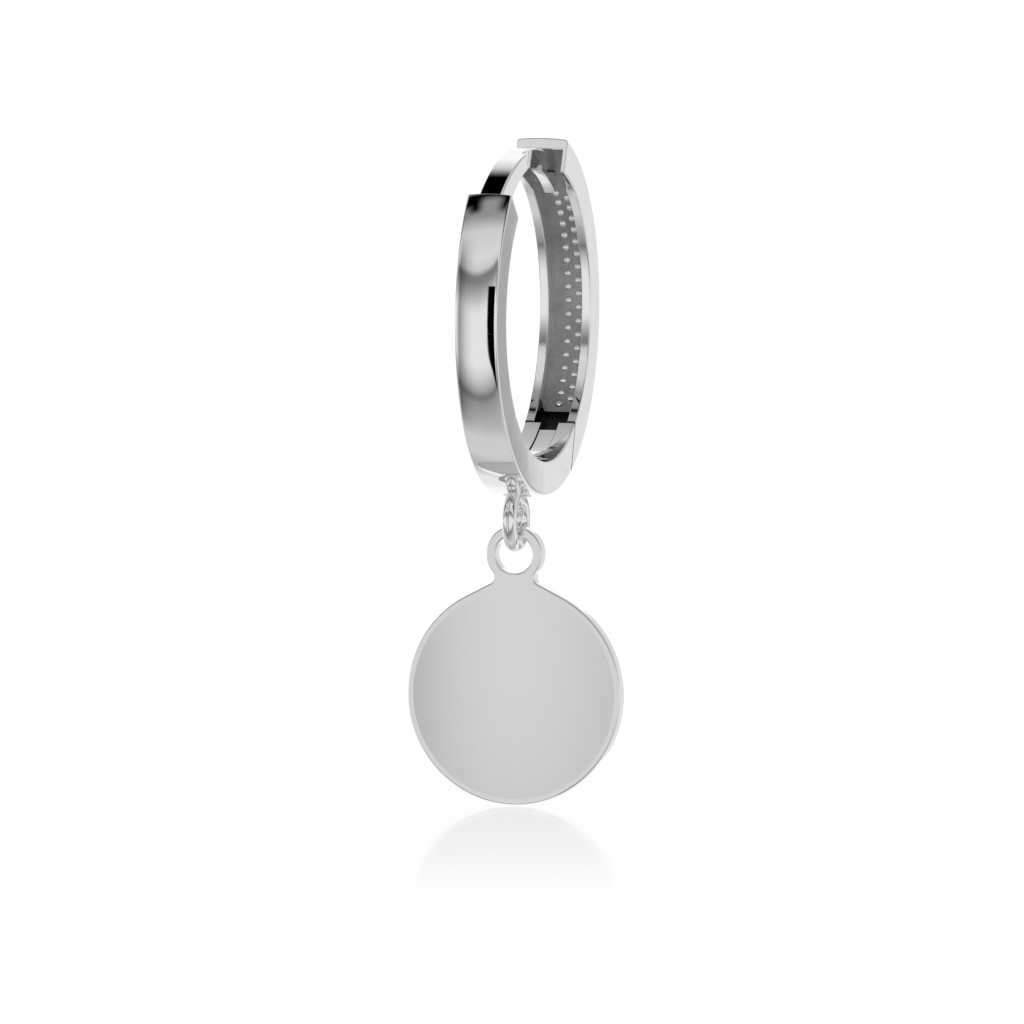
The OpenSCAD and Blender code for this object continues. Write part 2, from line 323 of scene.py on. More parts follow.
def round_corner(bm, vert, radius):
    """Rounds a corner of a flat outline."""
    bmesh.ops.bevel(
        bm,
        geom=[vert],
        offset=radius,
        offset_type="OFFSET",
        segments=FINE,
        profile=0.5,
        affect="VERTICES",
        material=-1,
    )


def rounded_face(bm, corners):
    """A face in the hoop's top section from (x, height, rounding) corners, each rounded by its own radius."""
    verts = [bm.verts.new((x, HOOP_Y, z)) for x, z, _ in corners]
    bm.faces.new(verts)
    for vert, (_, _, radius) in zip(verts, corners):
        if radius:
            round_corner(bm, vert, radius)
    return next(iter(bm.faces))


def spin(bm, geom, centre, axis, angle, steps):
    """Spins geometry round an axis. A full turn is closed and welded."""
    full = abs(angle) > 2 * math.pi - WELD
    spun = bmesh.ops.spin(
        bm,
        geom=geom,
        cent=centre,
        axis=axis,
        dvec=(0, 0, 0),
        angle=angle,
        space=Matrix.Identity(4),
        steps=steps,
        use_merge=full,
    )
    if full:
        bmesh.ops.remove_doubles(bm, verts=bm.verts, dist=WELD)
    return spun["geom_last"]


def crown_top(bm, half, rise, cuts=12):
    """Arches the longest edge at the top of a section, which keeps its highest point."""
    top = max(v.co.z for v in bm.verts)
    edges = [e for e in bm.edges if all(abs(v.co.z - top) < WELD for v in e.verts)]
    bmesh.ops.subdivide_edges(bm, edges=edges, cuts=cuts)
    for v in bm.verts:
        if abs(v.co.x) <= half and v.co.z > top - half / 3:
            v.co.z -= rise * (v.co.x / half) ** 2


def swing(bm, hoop, angle):
    """Turns a bmesh round the hoop's axis, from the top backwards."""
    bmesh.ops.rotate(bm, verts=bm.verts, cent=hoop_centre(hoop), matrix=Matrix.Rotation(-angle, 3, "X"))


def sweep(bm, hoop, face, angle, steps):
    """Spins a face backwards round the hoop's axis and returns the face at the far end."""
    last = spin(bm, [face, *face.edges, *face.verts], hoop_centre(hoop), (1, 0, 0), -angle, steps)
    return next(part for part in last if isinstance(part, bmesh.types.BMFace))


def trim(bm, point, normal, reach=3.5 * MM):
    """Cuts away what lies near a point on the normal's side of its plane, and closes the cut."""
    verts = [v for v in bm.verts if (v.co - point).length < reach]
    near = set(verts)
    edges = [e for e in bm.edges if near.issuperset(e.verts)]
    faces = [f for f in bm.faces if near.issuperset(f.verts)]
    cut = bmesh.ops.bisect_plane(
        bm,
        geom=[*verts, *edges, *faces],
        dist=WELD / 10,
        plane_co=point,
        plane_no=normal,
        clear_outer=True,
        clear_inner=False,
    )
    edges = [part for part in cut["geom_cut"] if isinstance(part, bmesh.types.BMEdge)]
    bmesh.ops.contextual_create(bm, geom=edges)


def sharp_edges(bm, degrees, keep=None):
    """The edges where two faces meet at more than an angle."""
    limit = math.radians(degrees)
    return [
        e
        for e in bm.edges
        if len(e.link_faces) == 2 and e.calc_face_angle(0.0) > limit and (keep is None or keep(e))
    ]


def soften(bm, edges, width, segments=3, clamp=True):
    """Rounds edges. With clamp, no rounding is wider than its neighbours leave room for."""
    if edges:
        bmesh.ops.bevel(
            bm,
            geom=edges,
            offset=width,
            offset_type="OFFSET",
            segments=segments,
            profile=0.5,
            affect="EDGES",
            clamp_overlap=clamp,
            material=-1,
        )


def tidy_mesh(bm):
    """Merges doubles, turns all faces outwards, and leaves an order that depends on places alone."""
    bmesh.ops.remove_doubles(bm, verts=bm.verts, dist=WELD)
    points = sorted(v.co.to_tuple() for v in bm.verts)
    index = {point: i for i, point in enumerate(points)}
    faces = []
    for face in bm.faces:
        corners = [index[v.co.to_tuple()] for v in face.verts]
        first = corners.index(min(corners))
        faces.append(corners[first:] + corners[:first])
    bm.clear()
    verts = [bm.verts.new(point) for point in points]
    for corners in sorted(faces):
        bm.faces.new([verts[i] for i in corners])
    bmesh.ops.recalc_face_normals(bm, faces=bm.faces)


def smooth_shade(bm, degrees=28):
    """Smooth faces, with a crease where two of them meet at more than an angle."""
    limit = math.radians(degrees)
    for face in bm.faces:
        face.smooth = True
    for edge in bm.edges:
        edge.smooth = len(edge.link_faces) == 2 and edge.calc_face_angle(0.0) < limit


def even_normals(bm):
    """Normals of the faces' corners, averaged by area over each smooth fan, so flat faces look flat."""
    weighted = {face: face.normal * face.calc_area() / WELD**2 for face in bm.faces}
    corners = {}
    for vert in bm.verts:
        left = list(vert.link_faces)
        while left:
            fan = [left.pop()]
            for face in fan:
                for edge in face.edges:
                    if edge.smooth and vert in edge.verts:
                        joined = [other for other in edge.link_faces if other in left]
                        left = [other for other in left if other not in joined]
                        fan.extend(joined)
            normal = sum((weighted[face] for face in fan), Vector()).normalized()
            corners.update({(face, vert): normal for face in fan})
    return [corners[face, loop.vert] for face in bm.faces for loop in face.loops]


def finished(name, bm, body, materials):
    """Makes a piece from a bmesh, which rides on a body."""
    bm.normal_update()
    smooth_shade(bm)
    normals = even_normals(bm)
    mesh = bpy.data.meshes.new(name)
    bm.to_mesh(mesh)
    bm.free()
    mesh.normals_split_custom_set(normals)
    piece = bpy.data.objects.new(name, mesh)
    bpy.context.scene.collection.objects.link(piece)
    for material in materials:
        mesh.materials.append(material)
    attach(piece, body)
    return piece


def combined(bm, tool, how):
    """Joins a bmesh with another, or cuts it by the other. Both are used up."""
    objects = []
    for part in (bm, tool):
        mesh = bpy.data.meshes.new("part")
        part.to_mesh(mesh)
        part.free()
        part_object = bpy.data.objects.new("part", mesh)
        bpy.context.scene.collection.objects.link(part_object)
        objects.append(part_object)
    base, other = objects
    modifier = base.modifiers.new("join", "BOOLEAN")
    modifier.operation = how
    modifier.solver = "EXACT"
    modifier.object = other
    evaluated = base.evaluated_get(bpy.context.evaluated_depsgraph_get())
    result = bmesh.new()
    result.from_mesh(evaluated.data)
    for part_object in objects:
        mesh = part_object.data
        bpy.data.objects.remove(part_object)
        bpy.data.meshes.remove(mesh)
    tidy_mesh(result)
    bmesh.ops.dissolve_degenerate(result, dist=WELD, edges=result.edges)
    return result


def rod(centre, radius, half_length, segments=64):
    """A straight rod along X."""
    bm = bmesh.new()
    bmesh.ops.create_cone(
        bm,
        cap_ends=True,
        segments=segments,
        radius1=radius,
        radius2=radius,
        depth=2 * half_length,
        matrix=Matrix.Translation(centre) @ Matrix.Rotation(math.pi / 2, 4, "Y"),
    )
    return bm


def bent_bar(hoop, width, thickness, radius, rounding, start, end):
    """A bar with rounded edges that follows the hoop."""
    bm = bmesh.new()
    low, top = (hoop_z(hoop) + radius + side * thickness / 2 for side in (-1, 1))
    corners = [(-width / 2, low), (width / 2, low), (width / 2, top), (-width / 2, top)]
    face = rounded_face(bm, [(x, z, rounding) for x, z in corners])
    swing(bm, hoop, start)
    sweep(bm, hoop, face, end - start, 24)
    tidy_mesh(bm)
    return bm


# Materials


class Tree:
    """A node tree with short calls that add and link its nodes."""

    def __init__(self, tree):
        self.tree = tree

    def add(self, kind, **settings):
        node = self.tree.nodes.new(kind)
        for name, value in settings.items():
            setattr(node, name, value)
        return node

    def link(self, output, socket):
        self.tree.links.new(output, socket)

    def feed(self, value, socket):
        """Gives a socket another node's output or a number."""
        if isinstance(value, bpy.types.NodeSocket):
            self.tree.links.new(value, socket)
        else:
            socket.default_value = value

    def math(self, operation, *values):
        node = self.add("ShaderNodeMath", operation=operation)
        for value, socket in zip(values, node.inputs):
            self.feed(value, socket)
        return node.outputs[0]

    def noise(self, vector, scale, detail):
        node = self.add("ShaderNodeTexNoise")
        for value, name in ((vector, "Vector"), (scale, "Scale"), (detail, "Detail")):
            self.feed(value, node.inputs[name])
        return node.outputs["Fac"]

    def ramp(self, value, low, high, to_low=0.0, to_high=1.0):
        """Maps a value smoothly from one range to another."""
        node = self.add("ShaderNodeMapRange", interpolation_type="SMOOTHSTEP")
        self.link(value, node.inputs["Value"])
        for name, number in zip(("From Min", "From Max", "To Min", "To Max"), (low, high, to_low, to_high)):
            node.inputs[name].default_value = number
        return node.outputs["Result"]


def new_group(name, inputs, outputs):
    """A shader node group with named inputs, each with a default, and named outputs."""
    group = bpy.data.node_groups.new(name, "ShaderNodeTree")
    for label, kind, value in inputs:
        socket = group.interface.new_socket(label, in_out="INPUT", socket_type=kind)
        if value is not None:
            socket.default_value = value
    for label, kind in outputs:
        group.interface.new_socket(label, in_out="OUTPUT", socket_type=kind)
    tree = Tree(group)
    return tree, tree.add("NodeGroupInput"), tree.add("NodeGroupOutput")


def hand_polish_group():
    """The soft waves and faint wiping marks that hand polishing leaves on metal."""
    tree, given, result = new_group(
        "Hand polish",
        [
            ("Vector", "NodeSocketVector", None),
            ("Wave Scale", "NodeSocketFloat", 900.0),
            ("Mark Scale", "NodeSocketFloat", 5000.0),
            ("Roughness", "NodeSocketFloat", 0.03),
        ],
        [("Height", "NodeSocketFloat"), ("Roughness", "NodeSocketFloat"), ("Tone", "NodeSocketFloat")],
    )
    waves = tree.noise(given.outputs["Vector"], given.outputs["Wave Scale"], 1.0)
    marks = tree.noise(given.outputs["Vector"], given.outputs["Mark Scale"], 3.0)
    mark_depth = 0.02
    tree.link(tree.math("MULTIPLY_ADD", marks, mark_depth, waves), result.inputs["Height"])
    wear = tree.ramp(marks, 0.35, 0.75, 0.6, 1.8)
    tree.link(tree.math("MULTIPLY", wear, given.outputs["Roughness"]), result.inputs["Roughness"])
    tree.link(tree.ramp(waves, 0.3, 0.7, 0.97, 1.0), result.inputs["Tone"])
    return tree.tree


def blast_group():
    """The fine even grain of a blasted floor, with cloudy patches."""
    tree, given, result = new_group(
        "Blasted grain",
        [("Vector", "NodeSocketVector", None), ("Scale", "NodeSocketFloat", 9000.0)],
        [("Height", "NodeSocketFloat"), ("Tone", "NodeSocketFloat")],
    )
    grain = tree.noise(given.outputs["Vector"], given.outputs["Scale"], 2.0)
    cloud = tree.noise(given.outputs["Vector"], tree.math("MULTIPLY", given.outputs["Scale"], 0.12), 3.0)
    tree.link(grain, result.inputs["Height"])
    patches = tree.ramp(cloud, 0.3, 0.7, 0.86, 1.1)
    specks = tree.ramp(grain, 0.3, 0.7, 0.94, 1.06)
    tree.link(tree.math("MULTIPLY", patches, specks), result.inputs["Tone"])
    return tree.tree


def satin_group():
    """Fine upright brushing lines."""
    tree, given, result = new_group(
        "Satin lines",
        [("Vector", "NodeSocketVector", None), ("Scale", "NodeSocketFloat", 14000.0)],
        [("Height", "NodeSocketFloat"), ("Tone", "NodeSocketFloat")],
    )
    stretch = tree.add("ShaderNodeMapping")
    stretch.inputs["Scale"].default_value = (1.0, 0.3, 0.02)
    tree.link(given.outputs["Vector"], stretch.inputs["Vector"])
    lines = tree.noise(stretch.outputs["Vector"], given.outputs["Scale"], 3.0)
    tree.link(lines, result.inputs["Height"])
    tree.link(tree.ramp(lines, 0.25, 0.75, 0.985, 1.0), result.inputs["Tone"])
    return tree.tree


def tinted(tree, colour, tone):
    """A colour made lighter and darker by a tone."""
    node = tree.add("ShaderNodeMix", data_type="RGBA", blend_type="MULTIPLY")
    node.inputs["Factor"].default_value = 1.0
    node.inputs["A"].default_value = colour
    tree.link(tone, node.inputs["B"])
    return node.outputs["Result"]


def metal(name, colour, group, relief, roughness=None, **settings):
    """A metal whose tone, relief and, where no roughness is given, gloss come from a finish group."""
    material = bpy.data.materials.new(name)
    material.use_nodes = True
    tree = Tree(material.node_tree)
    shader = material.node_tree.nodes["Principled BSDF"]
    shader.inputs["Metallic"].default_value = 1.0
    place = tree.add("ShaderNodeTexCoord")
    finish = tree.add("ShaderNodeGroup", node_tree=group)
    for label, value in settings.items():
        finish.inputs[label.replace("_", " ")].default_value = value
    tree.link(place.outputs["Object"], finish.inputs["Vector"])
    tree.link(tinted(tree, colour, finish.outputs["Tone"]), shader.inputs["Base Color"])
    if roughness is None:
        tree.link(finish.outputs["Roughness"], shader.inputs["Roughness"])
    else:
        shader.inputs["Roughness"].default_value = roughness
    bump = tree.add("ShaderNodeBump")
    bump.inputs["Distance"].default_value = relief
    tree.link(finish.outputs["Height"], bump.inputs["Height"])
    tree.link(bump.outputs["Normal"], shader.inputs["Normal"])
    return material


def finishes(scene):
    """The metals of the earring, made once."""
    if "Polished silver" not in bpy.data.materials:
        look = scene.earring_finish
        polish, blast, satin = hand_polish_group(), blast_group(), satin_group()
        metal("Polished silver", look.silver, polish, relief=1.2e-6, Roughness=look.polish)
        metal("Cast silver", look.cast, polish, relief=8e-7, Roughness=look.cast_rough, Wave_Scale=1500.0)
        metal("Blasted silver", look.blast, blast, relief=2e-6, roughness=look.blast_rough)
        # The well's near-black metal: painted shade for the deep well's shadow, with some tarnish.
        metal("Tarnish and painted shade", look.tarnish_and_shade, blast, relief=2e-6, roughness=look.cast_rough)
        metal("Satin silver", look.satin, satin, relief=6e-8, roughness=look.satin_rough)
    return bpy.data.materials


# Pieces of the front body


def front_band(scene):
    """The front half's band with the slot between its two cheeks."""
    hoop, hinge = scene.earring_hoop, scene.earring_hinge
    half = hoop.width_front / 2
    top = hoop_z(hoop) + HOOP_R
    low = hoop_z(hoop) + inner_r(hoop)
    bm = bmesh.new()
    face = rounded_face(
        bm,
        [
            (-half, low, hoop.inner_round),
            (half, low, hoop.inner_round),
            (half, top, hoop.outer_round),
            (-half, top, hoop.outer_round),
        ],
    )
    crown_top(bm, half, hoop.crown)
    swing(bm, hoop, -hoop.front_end)
    past_seam = hoop.seam / 3
    sweep(bm, hoop, face, -(math.pi + hoop.seam + past_seam - hoop.front_end), 120)
    trim_seam(bm, hoop, 1)
    tidy_mesh(bm)
    soften_ends(bm, hoop)

    slot_r = hoop.thickness / 2 - hinge.knuckle_inset + hinge.end_gap
    slot_half = hinge.knuckle_width / 2 + hinge.side_gap
    bm = combined(bm, rod(PIN, slot_r, slot_half), "DIFFERENCE")
    slot = bmesh.new()
    section = rounded_face(
        slot,
        [
            (-slot_half, low - hoop.thickness, 0),
            (slot_half, low - hoop.thickness, 0),
            (slot_half, top + hoop.thickness, 0),
            (-slot_half, top + hoop.thickness, 0),
        ],
    )
    pin_angle = polar(hoop, PIN)[0]
    swing(slot, hoop, pin_angle)
    sweep(slot, hoop, section, -2 * (pin_angle - math.pi + hoop.seam), 8)
    tidy_mesh(slot)
    bm = combined(bm, slot, "DIFFERENCE")
    bore_r = (PIN_HIGH.z - PIN_LOW.z) / 2 + hinge.pin_clearance
    bm = combined(bm, rod(PIN, bore_r, hoop.width_back), "DIFFERENCE")
    off_pin = bore_r * 1.1
    edges = sharp_edges(bm, 50, lambda e: (e.verts[0].co - PIN).yz.length > off_pin)
    soften(bm, edges, hoop.seam_round, 2)
    for v in bm.verts:
        out = abs(v.co.x) - slot_half
        if out > 0:
            spread = (half_width(hoop, v.co.y) - slot_half) / (half - slot_half)
            v.co.x = math.copysign(slot_half + out * spread, v.co.x)
    return bm


def soften_ends(bm, hoop):
    """Rounds the edges of a half's two ends, the upper end's more than the seam's."""
    middle = PIN.z / 2
    soften(bm, sharp_edges(bm, 40, lambda e: e.verts[0].co.z > middle), hoop.end_round, FINE, clamp=False)
    soften(bm, sharp_edges(bm, 40, lambda e: e.verts[0].co.z <= middle), hoop.seam_round)


def trim_seam(bm, hoop, side):
    """Cuts the band at the seam. Side 1 takes away the back half's metal, and side -1 the front half's."""
    point = on_hoop(hoop, math.pi - hoop.seam, middle_r(hoop))
    across = Vector((0, math.cos(hoop.seam_lean), -math.sin(hoop.seam_lean))) * side
    trim(bm, point - across * hoop.seam_gap / 2, across)


def post_face_r(scene, angle):
    """Radius of the post's outer face at an angle. Its arc's centre lies under the hoop's centre."""
    hoop, post = scene.earring_hoop, scene.earring_post
    lobe = polar(hoop, Vector((0, 0, 0)))[0]
    face = inner_r(hoop) + post.lift + post.thickness
    middle = face * math.cos(lobe) - math.sqrt(post.arc**2 - (face * math.sin(lobe)) ** 2)
    return middle * math.cos(angle) + math.sqrt(post.arc**2 - (middle * math.sin(angle)) ** 2)


def ear_post(scene):
    """The post through the ear, with its step on the near side and its slanted tip."""
    hoop, post = scene.earring_hoop, scene.earring_post
    root, high = hoop.front_end * 1.06, hoop.back_end + post.tip_reach
    low_r = inner_r(hoop) + post.lift
    tip_low_r = low_r - post.tip_drop
    bm = post_part(scene, post.width, low_r, post.round, -root, -post.step)
    tip = post_part(scene, post.tip_width, tip_low_r, post.round, -post.step * 1.2, high)
    bmesh.ops.translate(tip, verts=tip.verts, vec=((post.tip_width - post.width) / 2, 0, 0))
    low_corner = on_hoop(hoop, post.tip_low, tip_low_r)
    slant = on_hoop(hoop, high, post_face_r(scene, high)) - low_corner
    trim(tip, low_corner, Vector((0, slant.z, -slant.y)))
    soften(tip, sharp_edges(tip, 40), post.round / 3)
    soften(bm, sharp_edges(bm, 40), post.round / 2)
    return combined(bm, tip, "UNION")


def post_part(scene, width, low_r, rounding, start, end):
    """A length of the post from an inner radius to the post's outer face."""
    hoop, post = scene.earring_hoop, scene.earring_post
    thickness = post.thickness
    bm = bent_bar(hoop, width, thickness, low_r + thickness / 2, rounding, start, end)
    for v in bm.verts:
        angle, radius = polar(hoop, v.co)
        height = (radius - low_r) / thickness
        v.co = on_hoop(hoop, angle, low_r + height * (post_face_r(scene, angle) - low_r), v.co.x)
    return bm


def jump_ring(scene):
    """The jump ring, cut through its back limb."""
    ring = scene.earring_ring
    wire_r = ring.wire / 2
    loop_r = ring.diameter / 2 - wire_r
    bm = bmesh.new()
    bmesh.ops.create_circle(
        bm,
        cap_ends=True,
        segments=32,
        radius=wire_r,
        matrix=Matrix.Translation(RING + Vector((0, loop_r, 0))),
    )
    half_cut = ring.cut / 2 / loop_r
    bmesh.ops.rotate(bm, verts=bm.verts, cent=RING, matrix=Matrix.Rotation(half_cut, 3, "X"))
    face = next(iter(bm.faces))
    spin(bm, [face, *face.edges, *face.verts], RING, (1, 0, 0), 2 * (math.pi - half_cut), 96)
    tidy_mesh(bm)
    soften(bm, sharp_edges(bm, 60), ring.wire / 40)
    return bm


def solder(scene):
    """The fillet of solder from the band down round the top of the ring."""
    hoop, ring = scene.earring_hoop, scene.earring_ring
    sunk = hoop.thickness / 4
    foot_z = hoop_z(hoop) + HOOP_R - sunk
    foot_half, top_half = ring.solder_width / 2, ring.wire / 2
    bm = bmesh.new()
    verts = [bm.verts.new((foot_half, HOOP_Y, foot_z))]
    steps = 8
    for i in range(steps + 1):
        bend = math.pi / 2 * i / steps
        out = top_half + (foot_half - top_half) * (1 - math.sin(bend))
        rise = sunk + ring.solder_height * (1 - math.cos(bend))
        verts.append(bm.verts.new((out, HOOP_Y, foot_z + rise)))
    edges = [bm.edges.new(pair) for pair in zip(verts, verts[1:])]
    spin(bm, [*verts, *edges], (0, HOOP_Y, 0), (0, 0, 1), 2 * math.pi, 48)
    bmesh.ops.holes_fill(bm, edges=bm.edges, sides=0)
    swing(bm, hoop, math.pi + ring.place)
    tidy_mesh(bm)
    return bm


def hinge_pin(scene):
    """The pin, with its ends filed flush with the sides."""
    hinge = scene.earring_hinge
    bm = rod(PIN, (PIN_HIGH.z - PIN_LOW.z) / 2, PIN_HIGH.x)
    soften(bm, sharp_edges(bm, 60), hinge.pin_round)
    for v in bm.verts:
        v.co.x *= half_width(scene.earring_hoop, v.co.y) / PIN_HIGH.x
    return bm


# Pieces of the back body


def mouth_roof(scene, angle):
    """Radius of the roof of the mouth at an angle, which is as round as the channel's floor."""
    hoop, channel = scene.earring_hoop, scene.earring_channel
    floor_r = inner_r(hoop) + channel.depth
    high = on_hoop(hoop, hoop.back_end, post_face_r(scene, hoop.back_end) + channel.mouth_gap)
    low = on_hoop(hoop, channel.start, floor_r)
    run = low - high
    rise = math.sqrt(floor_r**2 - (run.length / 2) ** 2)
    centre = (high + low) / 2 + Vector((0, run.z, -run.y)) / run.length * rise - hoop_centre(hoop)
    along = centre.y * math.sin(angle) + centre.z * math.cos(angle)
    return along + math.sqrt(along**2 - centre.length_squared + floor_r**2)


def back_band(scene):
    """The back half's band: one section with the channel in it, spun from end to end."""
    hoop, channel = scene.earring_hoop, scene.earring_channel
    half, hollow = hoop.width_back / 2, channel.width / 2
    top, low = hoop_z(hoop) + HOOP_R, hoop_z(hoop) + inner_r(hoop)
    floor = low + channel.depth
    lip = channel.lip_round
    bm = bmesh.new()
    face = rounded_face(
        bm,
        [
            (-half, low, hoop.inner_round),
            (-hollow, low, lip),
            (-hollow, floor, lip),
            (hollow, floor, lip),
            (hollow, low, lip),
            (half, low, hoop.inner_round),
            (half, top, hoop.outer_round),
            (-half, top, hoop.outer_round),
        ],
    )
    crown_top(bm, half, hoop.crown)
    floor_edge = min(bm.edges, key=lambda e: sum(abs(v.co.z - floor) for v in e.verts))
    bmesh.ops.subdivide_edges(bm, edges=[floor_edge], cuts=12)
    # What is spun past both ends and trimmed off
    past_end, past_seam = math.radians(4), math.radians(8)
    start = hoop.back_end - past_end
    swing(bm, hoop, start)
    face = sweep(bm, hoop, face, channel.end - start, 76)
    face = sweep(bm, hoop, face, STEP, 1)
    sweep(bm, hoop, face, math.pi - hoop.seam + past_seam - channel.end - STEP, 14)
    shape_hollows(bm, scene)
    trim_seam(bm, hoop, -1)
    lean = hoop.back_end + hoop.back_end_lean
    end_middle = on_hoop(hoop, hoop.back_end, middle_r(hoop))
    trim(bm, end_middle, Vector((0, -math.cos(lean), math.sin(lean))))
    tidy_mesh(bm)
    soften_ends(bm, hoop)
    finish_hollows(bm, scene)
    return bm


def finish_hollows(bm, scene):
    """Gives the hollow's faces their metal: 1 for roof and floor, 2 for the mouth's walls, 3 for the well,
    which is near black with painted shade and some tarnish.
    """
    hoop, channel = scene.earring_hoop, scene.earring_channel
    past_end_face = hoop.back_end + math.radians(0.8)
    well_start = channel.end - channel.corner * 1.2
    rim_r, deep_r = inner_r(hoop) + channel.lip_round, HOOP_R - channel.lip_round * 3
    for f in bm.faces:
        middle = f.calc_center_median()
        angle, radius = polar(hoop, middle)
        wall = half_width(hoop, middle.y) - channel.mouth_wall / 2
        if abs(middle.x) >= wall or radius <= rim_r:
            continue
        inward = (hoop_centre(hoop) - middle).normalized().dot(f.normal) > FACING
        inside = angle > past_end_face and radius < deep_r
        if inside and inward and angle < channel.end:
            f.material_index = 1
        # The well's floor, walls and step get the near-black metal: painted shade for the deep recess, with
        # some tarnish.
        elif angle > well_start:
            f.material_index = 3
        elif inside and angle < channel.start:
            f.material_index = 2


def floor_radius(scene, angle):
    """Radius of the roof of the mouth, the channel's floor or the well's floor at an angle."""
    hoop, channel = scene.earring_hoop, scene.earring_channel
    if angle < channel.start:
        return mouth_roof(scene, max(angle, hoop.back_end / 2))
    depth = channel.depth if angle < channel.end + STEP / 2 else channel.well_depth
    return inner_r(hoop) + depth


def shape_hollows(bm, scene):
    """Tapers the band's sides, and makes the mouth, the channel and the well out of one even hollow."""
    hoop, channel = scene.earring_hoop, scene.earring_channel
    half, hollow = hoop.width_back / 2, channel.width / 2
    rim_end = hollow + 2 * channel.lip_round
    rim_r = inner_r(hoop)
    mouth_y = on_hoop(hoop, hoop.back_end, mouth_roof(scene, hoop.back_end)).y
    start_y = on_hoop(hoop, channel.start, rim_r + channel.depth).y
    mouth_half = half_width(hoop, mouth_y) - channel.mouth_wall
    for v in bm.verts:
        angle, radius = polar(hoop, v.co)
        side = math.copysign(1, v.co.x)
        out = abs(v.co.x)
        if out > rim_end or radius > rim_r + channel.depth + channel.lip_round:
            if out > hollow:
                spread = (half_width(hoop, v.co.y) - hollow) / (half - hollow)
                v.co.x = side * (hollow + (out - hollow) * spread)
            continue
        depth = (radius - rim_r) / channel.depth
        new_r = rim_r + depth * (floor_radius(scene, angle) - rim_r)
        new_x = v.co.x
        if angle < channel.start:
            widen = min(1.0, (start_y - v.co.y) / (start_y - mouth_y))
            new_x *= (hollow + (mouth_half - hollow) * widen) / hollow
        if abs(angle - channel.end - STEP / 2) < STEP:
            # Share of the way through the outer quarter of the floor
            edge = max(0.0, out / hollow * 4 - 3)
            angle -= channel.corner * edge**2
        v.co = on_hoop(hoop, angle, new_r, new_x)


def catch_tongue(scene):
    """The tongue that stands over the mouth, with its foot in the channel."""
    hoop, channel, catch = scene.earring_hoop, scene.earring_channel, scene.earring_catch
    low_r = inner_r(hoop) - catch.proud
    rounding = catch.thickness / 6
    past_start = math.radians(1)
    start, end = hoop.back_end - catch.reach, channel.start + past_start
    tongue = bent_bar(hoop, catch.width, catch.thickness, low_r + catch.thickness / 2, rounding, start, end)
    floor_r = inner_r(hoop) + channel.depth
    foot_t = floor_r - low_r + channel.lip_round
    foot_start = channel.start - catch.foot
    foot = bent_bar(hoop, catch.width, foot_t, low_r + foot_t / 2, rounding, foot_start, end)
    for part in (tongue, foot):
        soften(part, sharp_edges(part, 40), rounding / 2)
    return combined(tongue, foot, "UNION")


def beads(scene):
    """The middle row of beads and the second row beside it, as one mesh."""
    hoop, channel, bead = scene.earring_hoop, scene.earring_channel, scene.earring_beads
    first = channel.start + bead.start_gap
    last = channel.end - bead.end_gap
    count = int((last - first) / bead.pitch) + 1
    places = [(first + i * bead.pitch, 0.0) for i in range(count)]
    places += [(angle + bead.pitch / 2, bead.row_gap) for angle, _ in places]
    centre_r = inner_r(hoop) + channel.depth + bead.diameter / 2 - bead.height
    bm = bmesh.new()
    for angle, x in (place for place in places if place[0] <= last):
        bmesh.ops.create_uvsphere(
            bm,
            u_segments=16,
            v_segments=10,
            radius=bead.diameter / 2,
            matrix=Matrix.Translation(on_hoop(hoop, angle, centre_r, x)) @ Matrix.Rotation(-angle, 4, "X"),
        )
    tidy_mesh(bm)
    return bm


def knuckle(scene):
    """The knuckle that turns on the pin, with its tongue out of the back half."""
    hoop, channel, hinge = scene.earring_hoop, scene.earring_channel, scene.earring_hinge
    knuckle_r = hoop.thickness / 2 - hinge.knuckle_inset
    bm = rod(PIN, knuckle_r, hinge.knuckle_width / 2)
    outer, inner = HOOP_R - hinge.knuckle_inset, inner_r(hoop) + hinge.knuckle_inset
    root_inner = inner_r(hoop) + channel.well_depth
    pin_angle = polar(hoop, PIN)[0]
    for low_r, start in ((inner, math.pi - hinge.thick_end), (root_inner, math.pi - hoop.seam - hinge.root)):
        arm = bent_bar(hoop, hinge.knuckle_width, outer - low_r, (outer + low_r) / 2, 0, start, pin_angle)
        bm = combined(bm, arm, "UNION")
    soften(bm, sharp_edges(bm, 50), hoop.seam_round * 2)
    return bm


# The charm body


